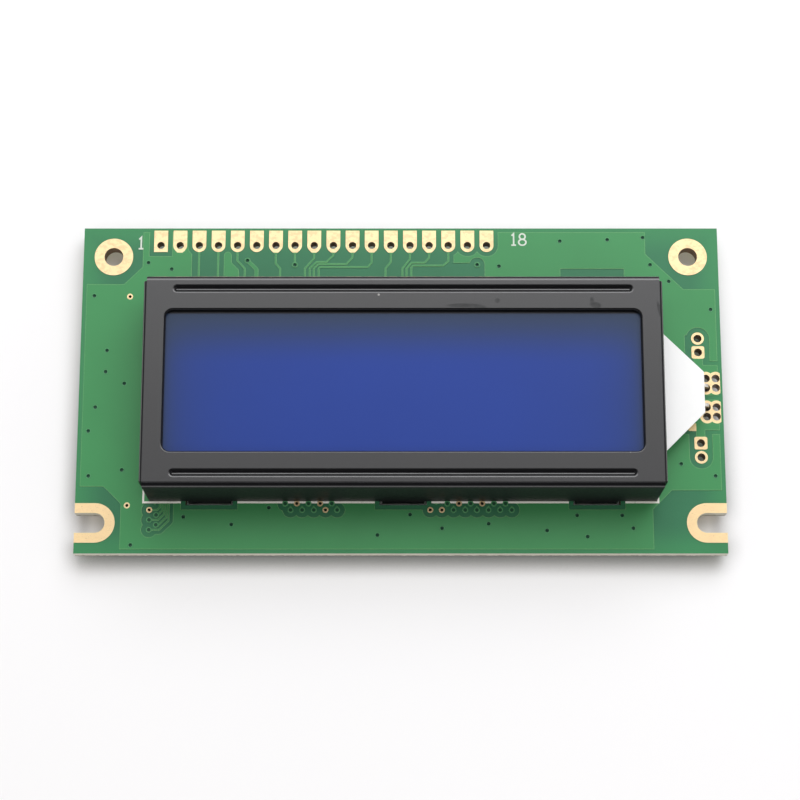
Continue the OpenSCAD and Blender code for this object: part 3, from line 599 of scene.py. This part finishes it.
def bezelFinish():
    material, tree, shader = newFinish("satinPaint", {
        "Specular IOR Level": bezel["spec"], "Coat Roughness": bezel["gloss"],
        "Coat IOR": bezel["coatIndex"]})
    point = axes(tree)
    slope = {name: use(tree, "sides", "Mask", Softness=softness, Middle=middle)
             for name, (middle, softness) in bezel["slopes"].items()}
    # painted shade: bends and upright walls darker than the flat face
    tone = blend(tree, slope["upright"], opaque(bezel["bendShade"]), opaque(bezel["wallShadeAndMarks"]))
    tone = blend(tree, slope["turned"], opaque(bezel["paint"]), tone)
    tone = use(tree, "drift", "Colour", Colour=tone, Scale=90.0, Amount=0.10)
    worn = use(tree, "edges", "Mask", Radius=bezel["corner"], Gain=2.0)
    worn = calc(tree, "MULTIPLY", worn, use(tree, "smudges", "Mask", Scale=1500.0, Level=0.58))
    tone = blend(tree, worn, tone, opaque(bezel["rubbed"]))
    specks = use(tree, "specks", "Mask", Scale=420.0, Share=0.12, Size=0.045)
    tone = blend(tree, calc(tree, "MULTIPLY", specks, bezel["dustShare"]), tone, opaque(bezel["dust"]))
    rub = 0.0
    for mark in bezel["marks"]:
        rub = calc(tree, "MAXIMUM", rub, spot(tree, point, *mark))
    rub = calc(tree, "MULTIPLY", rub, use(tree, "grain", "Grain", Scale=1800.0, Detail=4.0))
    tone = blend(tree, rub, tone, opaque(bezel["wallShadeAndMarks"]))
    tone = blend(tree, spot(tree, point, *bezel["chip"]), tone, opaque(bezel["steel"]))
    put(tree, shader["Base Color"], tone)
    grain = use(tree, "grain", "Grain", Scale=3600.0, Detail=2.0)
    smudge = use(tree, "smudges", "Mask", Scale=140.0, Stretch=(0.6, 1.6, 1.0), Level=0.56)
    rough = mottle(tree, grain, bezel["rough"])
    put(tree, shader["Roughness"], calc(tree, "MULTIPLY_ADD", smudge, bezel["smudgeRough"], rough))
    soft = use(tree, "edges", "Normal", Radius=bezel["corner"])
    put(tree, shader["Normal"], bump(tree, grain, strength=0.06, depth=0.01 * mm, normal=soft))
    # glossy on the flat face and in a narrow line at the foot of the bend, dull in the marks
    foot = calc(tree, "SUBTRACT", slope["footTop"], slope["footEnd"])
    shiny = calc(tree, "ADD", calc(tree, "SUBTRACT", 1.0, slope["dull"]), foot)
    clean = calc(tree, "MULTIPLY_ADD", rub, -bezel["markDull"], 1.0)
    put(tree, shader["Coat Weight"], calc(tree, "MULTIPLY", clean, shiny))
    return material


dress(bezelFinish(), "bezel")
print("bezel painted")

# screen: blue film in the window, with painted shade under the frame's rim

screen = {
    "blue": (0.006, 0.035, 0.245),
    "shade": (0.014, 0.030, 0.062),
    "rim": (0.003, 0.003, 0.005),  # painted shadow, near black, next to the frame
    "window": (60.5 * mm, 18.5 * mm),
    "backShade": (7.5 * mm, 0.95),  # reach and strength
    "sideShade": ((1.2 * mm, 0.36), (6.0 * mm, 0.46)),
    "backRimShadow": (0.22 * mm, 0.48 * mm),
    "sideRimShadow": (0.0, 0.12 * mm),
    "spec": 0.4,
    "tooth": {"scale": 7000.0, "detail": 2.0, "rough": (0.32, 0.40), "strength": 0.15, "depth": 0.008 * mm},
}


def screenFinish():
    material, tree, shader = newFinish("blueFilm", {"Specular IOR Level": screen["spec"]})
    low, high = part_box("front_polariser")
    middle = (low + high) / 2
    point = axes(tree)
    width, depth = screen["window"]
    backGap = calc(tree, "SUBTRACT", middle.y + depth / 2, point["Y"])
    offX = calc(tree, "ABSOLUTE", calc(tree, "SUBTRACT", point["X"], middle.x))
    sideGap = calc(tree, "SUBTRACT", width / 2, offX)
    sides = 0.0
    for reach, strength in screen["sideShade"]:
        fade = calc(tree, "EXPONENT", calc(tree, "DIVIDE", sideGap, -reach))
        sides = calc(tree, "MULTIPLY_ADD", fade, strength, sides)
    reach, strength = screen["backShade"]
    back = ramp(tree, backGap, 0.0, reach, strength, 0.0)
    shade = calc(tree, "MULTIPLY_ADD", sides, calc(tree, "SUBTRACT", 1.0, back), back)
    tone = blend(tree, shade, opaque(screen["blue"]), opaque(screen["shade"]))
    # painted shadow along the frame's edge
    rim = calc(tree, "MAXIMUM", ramp(tree, backGap, *screen["backRimShadow"], 1.0, 0.0),
               ramp(tree, sideGap, *screen["sideRimShadow"], 1.0, 0.0))
    tone = blend(tree, rim, tone, opaque(screen["rim"]))
    put(tree, shader["Base Color"], use(tree, "drift", "Colour", Colour=tone, Scale=70.0, Amount=0.08))
    addTooth(tree, shader, **screen["tooth"])
    return material


dress(screenFinish(), "front_polariser")
print("screen finished")

# white film on the light guide's nose and under it

whiteFilm = {
    "white": (0.955, 0.96, 0.955),
    "cool": (0.925, 0.93, 0.93),
    "coolShare": 0.5,
    "spec": 0.45,
    "tooth": {"scale": 6000.0, "rough": (0.34, 0.46), "strength": 0.1, "depth": 0.01 * mm},
}


def filmFinish():
    material, tree, shader = newFinish("whiteFilm", {"Specular IOR Level": whiteFilm["spec"]})
    patch = use(tree, "smudges", "Mask", Scale=260.0, Level=0.5)
    patch = calc(tree, "MULTIPLY", patch, whiteFilm["coolShare"])
    tone = blend(tree, patch, opaque(whiteFilm["white"]), opaque(whiteFilm["cool"]))
    put(tree, shader["Base Color"], tone)
    addTooth(tree, shader, **whiteFilm["tooth"])
    return material


dress(filmFinish(), "tab_film", "reflector_sheet")

# the other pieces: two tones, the scale of their patches and a roughness each

plainPieces = {
    "clearPlate": {"nodes": ["light_guide"], "tones": ((0.84, 0.87, 0.86), (0.90, 0.92, 0.91)),
                   "scale": 300.0, "rough": 0.12, "clear": 0.2},
    "clearGlass": {"nodes": ["front_glass", "rear_glass"],
                   "tones": ((0.78, 0.88, 0.86), (0.84, 0.92, 0.90)),
                   "scale": 200.0, "rough": 0.04, "clear": 0.85},
    "sealResin": {"nodes": ["cell_seal"], "tones": ((0.62, 0.56, 0.42), (0.72, 0.66, 0.52)),
                  "scale": 900.0, "rough": 0.5},
    "rearFilm": {"nodes": ["rear_polariser"], "tones": ((0.17, 0.19, 0.23), (0.22, 0.24, 0.28)),
                 "scale": 300.0, "rough": 0.3},
    "layeredRubber": {"nodes": ["front_zebra_strip", "back_zebra_strip"],
                      "tones": ((0.05, 0.05, 0.06), (0.14, 0.14, 0.15)), "scale": 1500.0, "rough": 0.65},
    "milkyFilm": {"nodes": ["diffuser_sheet"], "tones": ((0.82, 0.82, 0.80), (0.88, 0.88, 0.86)),
                  "scale": 400.0, "rough": 0.55},
    "whiteMoulding": {"nodes": ["backlight_housing"], "tones": ((0.80, 0.80, 0.77), (0.88, 0.88, 0.86)),
                      "scale": 500.0, "rough": 0.45},
    "lampBody": {"nodes": ["backlight_led"], "tones": ((0.88, 0.86, 0.78), (0.90, 0.80, 0.42)),
                 "scale": 900.0, "rough": 0.3},
    "tinnedLead": {"nodes": ["led_leads"], "tones": ((0.62, 0.58, 0.50), (0.74, 0.72, 0.68)),
                   "scale": 2500.0, "rough": 0.32, "metal": 1.0},
    "brightSolder": {"nodes": ["solder_joints"], "tones": ((0.56, 0.57, 0.60), (0.74, 0.74, 0.76)),
                     "scale": 1800.0, "rough": 0.26, "metal": 1.0},
    "bareChip": {"nodes": ["driver_chips"], "tones": ((0.16, 0.16, 0.19), (0.24, 0.24, 0.28)),
                 "scale": 1500.0, "rough": 0.2},
    "blackEpoxy": {"nodes": ["left_driver_blob", "right_driver_blob"],
                   "tones": ((0.010, 0.010, 0.010), (0.022, 0.022, 0.022)), "scale": 260.0, "rough": 0.22},
    "blackGlaze": {"nodes": ["chip_resistors"], "tones": ((0.020, 0.020, 0.024), (0.045, 0.045, 0.05)),
                   "scale": 1200.0, "rough": 0.35},
    "brownCeramic": {"nodes": ["chip_capacitors"], "tones": ((0.36, 0.25, 0.16), (0.48, 0.36, 0.25)),
                     "scale": 1200.0, "rough": 0.5},
}


def pieceFinish(name, spec):
    material, tree, shader = newFinish(name, {
        "Metallic": spec.get("metal", 0.0), "Transmission Weight": spec.get("clear", 0.0)})
    scale, rough = spec["scale"], spec["rough"]
    patch = use(tree, "smudges", "Mask", Scale=scale, Level=0.45)
    first, second = spec["tones"]
    tone = blend(tree, patch, opaque(first), opaque(second))
    put(tree, shader["Base Color"], use(tree, "drift", "Colour", Colour=tone, Scale=scale / 3, Amount=0.06))
    addTooth(tree, shader, scale=scale * 6, rough=(rough * 0.8, rough * 1.2), strength=0.2, depth=0.01 * mm)
    return material


for pieceName, pieceSpec in plainPieces.items():
    dress(pieceFinish(pieceName, pieceSpec), *pieceSpec["nodes"])
print("white film, inner and rear pieces finished:", len(plainPieces) + 1)

# white table, soft light from behind and a dim room round it

studio = {
    "table": (0.91, 0.91, 0.92),
    "tableReach": 15.0,
    "contact": 3.2 * mm,  # reach of the deeper shadow along the board's front
    "under": (0.5 * mm, 2.0 * mm),  # in from the board's outline, where that shadow ends
    "tableLift": 0.01,  # seen by the camera and in reflections only
    "farLift": 0.345,  # the same away from the object, where the lamp fades
    "liftOver": (0.08, 0.70),
    "room": 0.71,  # light from all round
    "window": 4.1,  # the bright side, behind and above
    "windowUp": (0.30, 0.75),  # where it starts and is full, by direction
    "windowBack": (0.24, 0.60),
    "windowAcross": (-0.4, 0.4, 0.8, 1.2),  # from left to right, and how bright
    "dim": 0.68,  # the rest of the room, seen in reflections
    "overhead": 0.06,  # dark ceiling, seen in bends that face the camera
    "overheadUp": (0.42, 0.66),
    "overheadFront": (0.02, 0.15),
    "background": (0.985, 0.985, 1.0),
    "roomTint": (1.02, 0.985, 0.955),  # warm walls
    "lampTint": (0.97, 1.0, 1.04),  # cool daylight
    "lampAt": (0.095, 0.265, 0.385),
    "lampSize": 0.52,
    "lampPower": 1.54,
}


def tableFinish():
    material, tree, shader = newFinish("paleTable", {
        "Roughness": 0.75, "Specular IOR Level": 0.2, "Emission Color": opaque(studio["background"])})
    pale = use(tree, "drift", "Colour", Colour=opaque(studio["table"]), Scale=9.0, Amount=0.01)
    # painted contact shadow: occlusion darkens the table's colour near the board's front and sides, fading
    # towards the back
    contactShadow = addNode(tree, "ShaderNodeAmbientOcclusion", {"Color": pale, "Distance": studio["contact"]},
                    samples=8)
    point = axes(tree)
    under = ramp(tree, calc(tree, "MINIMUM", *edgeGaps(tree, point)), *studio["under"])
    lit = calc(tree, "MAXIMUM", under, ramp(tree, point["Y"], boardLow.y, boardHigh.y))
    put(tree, shader["Base Color"], blend(tree, lit, contactShadow.outputs["Color"], pale))
    grain = use(tree, "grain", "Grain", Scale=900.0)
    put(tree, shader["Normal"], bump(tree, grain, strength=0.05, depth=0.02 * mm))
    rays = addNode(tree, "ShaderNodeLightPath").outputs
    seen = calc(tree, "MAXIMUM", rays["Is Glossy Ray"], rays["Is Transmission Ray"])
    seen = calc(tree, "MAXIMUM", rays["Is Camera Ray"], seen)
    away = addNode(tree, "ShaderNodeVectorMath", {0: surfacePoint(tree)}, operation="LENGTH")
    lift = ramp(tree, away.outputs["Value"], *studio["liftOver"], studio["tableLift"], studio["farLift"])
    put(tree, shader["Emission Strength"], calc(tree, "MULTIPLY", seen, lift))
    return material


def buildTable():
    mesh = bmesh.new()
    bmesh.ops.create_grid(mesh, x_segments=8, y_segments=8, size=studio["tableReach"])
    made = addMesh("table", mesh, tableFinish())


def buildRoom():
    world = bpy.data.worlds.new("room")
    bpy.context.scene.world = world
    world.use_nodes = True
    tree = world.node_tree
    shade = tree.nodes["Background"].inputs
    rays = addNode(tree, "ShaderNodeLightPath").outputs
    toward = addNode(tree, "ShaderNodeTexCoord").outputs["Generated"]
    toward = addNode(tree, "ShaderNodeSeparateXYZ", {"Vector": toward}).outputs
    # reflections see a bright window behind and a dark ceiling in front
    bright = calc(tree, "MULTIPLY", ramp(tree, toward["Y"], *studio["windowBack"]),
                  ramp(tree, toward["X"], *studio["windowAcross"]))
    bright = calc(tree, "MULTIPLY", ramp(tree, toward["Z"], *studio["windowUp"]), bright)
    over = calc(tree, "MULTIPLY", ramp(tree, toward["Z"], *studio["overheadUp"]),
                ramp(tree, toward["Y"], *studio["overheadFront"], 1.0, 0.0))
    rest = calc(tree, "MULTIPLY_ADD", over, studio["overhead"] - studio["dim"], studio["dim"])
    sheen = calc(tree, "MULTIPLY_ADD", bright, studio["window"] - studio["dim"], rest)
    level = choose(tree, rays["Is Glossy Ray"], studio["room"], sheen)
    seen = calc(tree, "MAXIMUM", rays["Is Camera Ray"], rays["Is Transmission Ray"])
    put(tree, shade["Strength"], choose(tree, seen, level, 1.0))
    colour = blend(tree, rays["Is Diffuse Ray"], opaque(studio["background"]), opaque(studio["roomTint"]))
    put(tree, shade["Color"], colour)


def buildLamp():
    data = bpy.data.lights.new("windowLight", "AREA")
    data.shape = "DISK"
    data.size = studio["lampSize"]
    data.energy = studio["lampPower"]
    data.color = studio["lampTint"]
    made = addObject("windowLight", data)
    made.location = studio["lampAt"]
    made.visible_glossy = False  # the bright side of the room stands for it in reflections
    made.rotation_euler = (-Vector(studio["lampAt"])).to_track_quat("-Z", "Y").to_euler()


buildTable()
buildRoom()
buildLamp()

camera = {
    "at": (-0.0001, -0.0684, 0.2437),
    "tilt": 11.92,  # degrees from straight down
    "lens": 86.0,
    "sensor": 36.0,
    "shift": 0.15,
    "clip": (0.01, 20.0),
}


def buildCamera():
    data = bpy.data.cameras.new("camera")
    data.lens = camera["lens"]
    data.sensor_width = camera["sensor"]
    data.shift_y = camera["shift"]
    data.clip_start, data.clip_end = camera["clip"]
    made = addObject("camera", data)
    made.location = camera["at"]
    made.rotation_euler = (math.radians(camera["tilt"]), 0.0, 0.0)
    bpy.context.scene.camera = made


buildCamera()
bpy.context.scene.view_settings.view_transform = "Standard"
print("table, light and camera set")

bpy.context.view_layer.update()
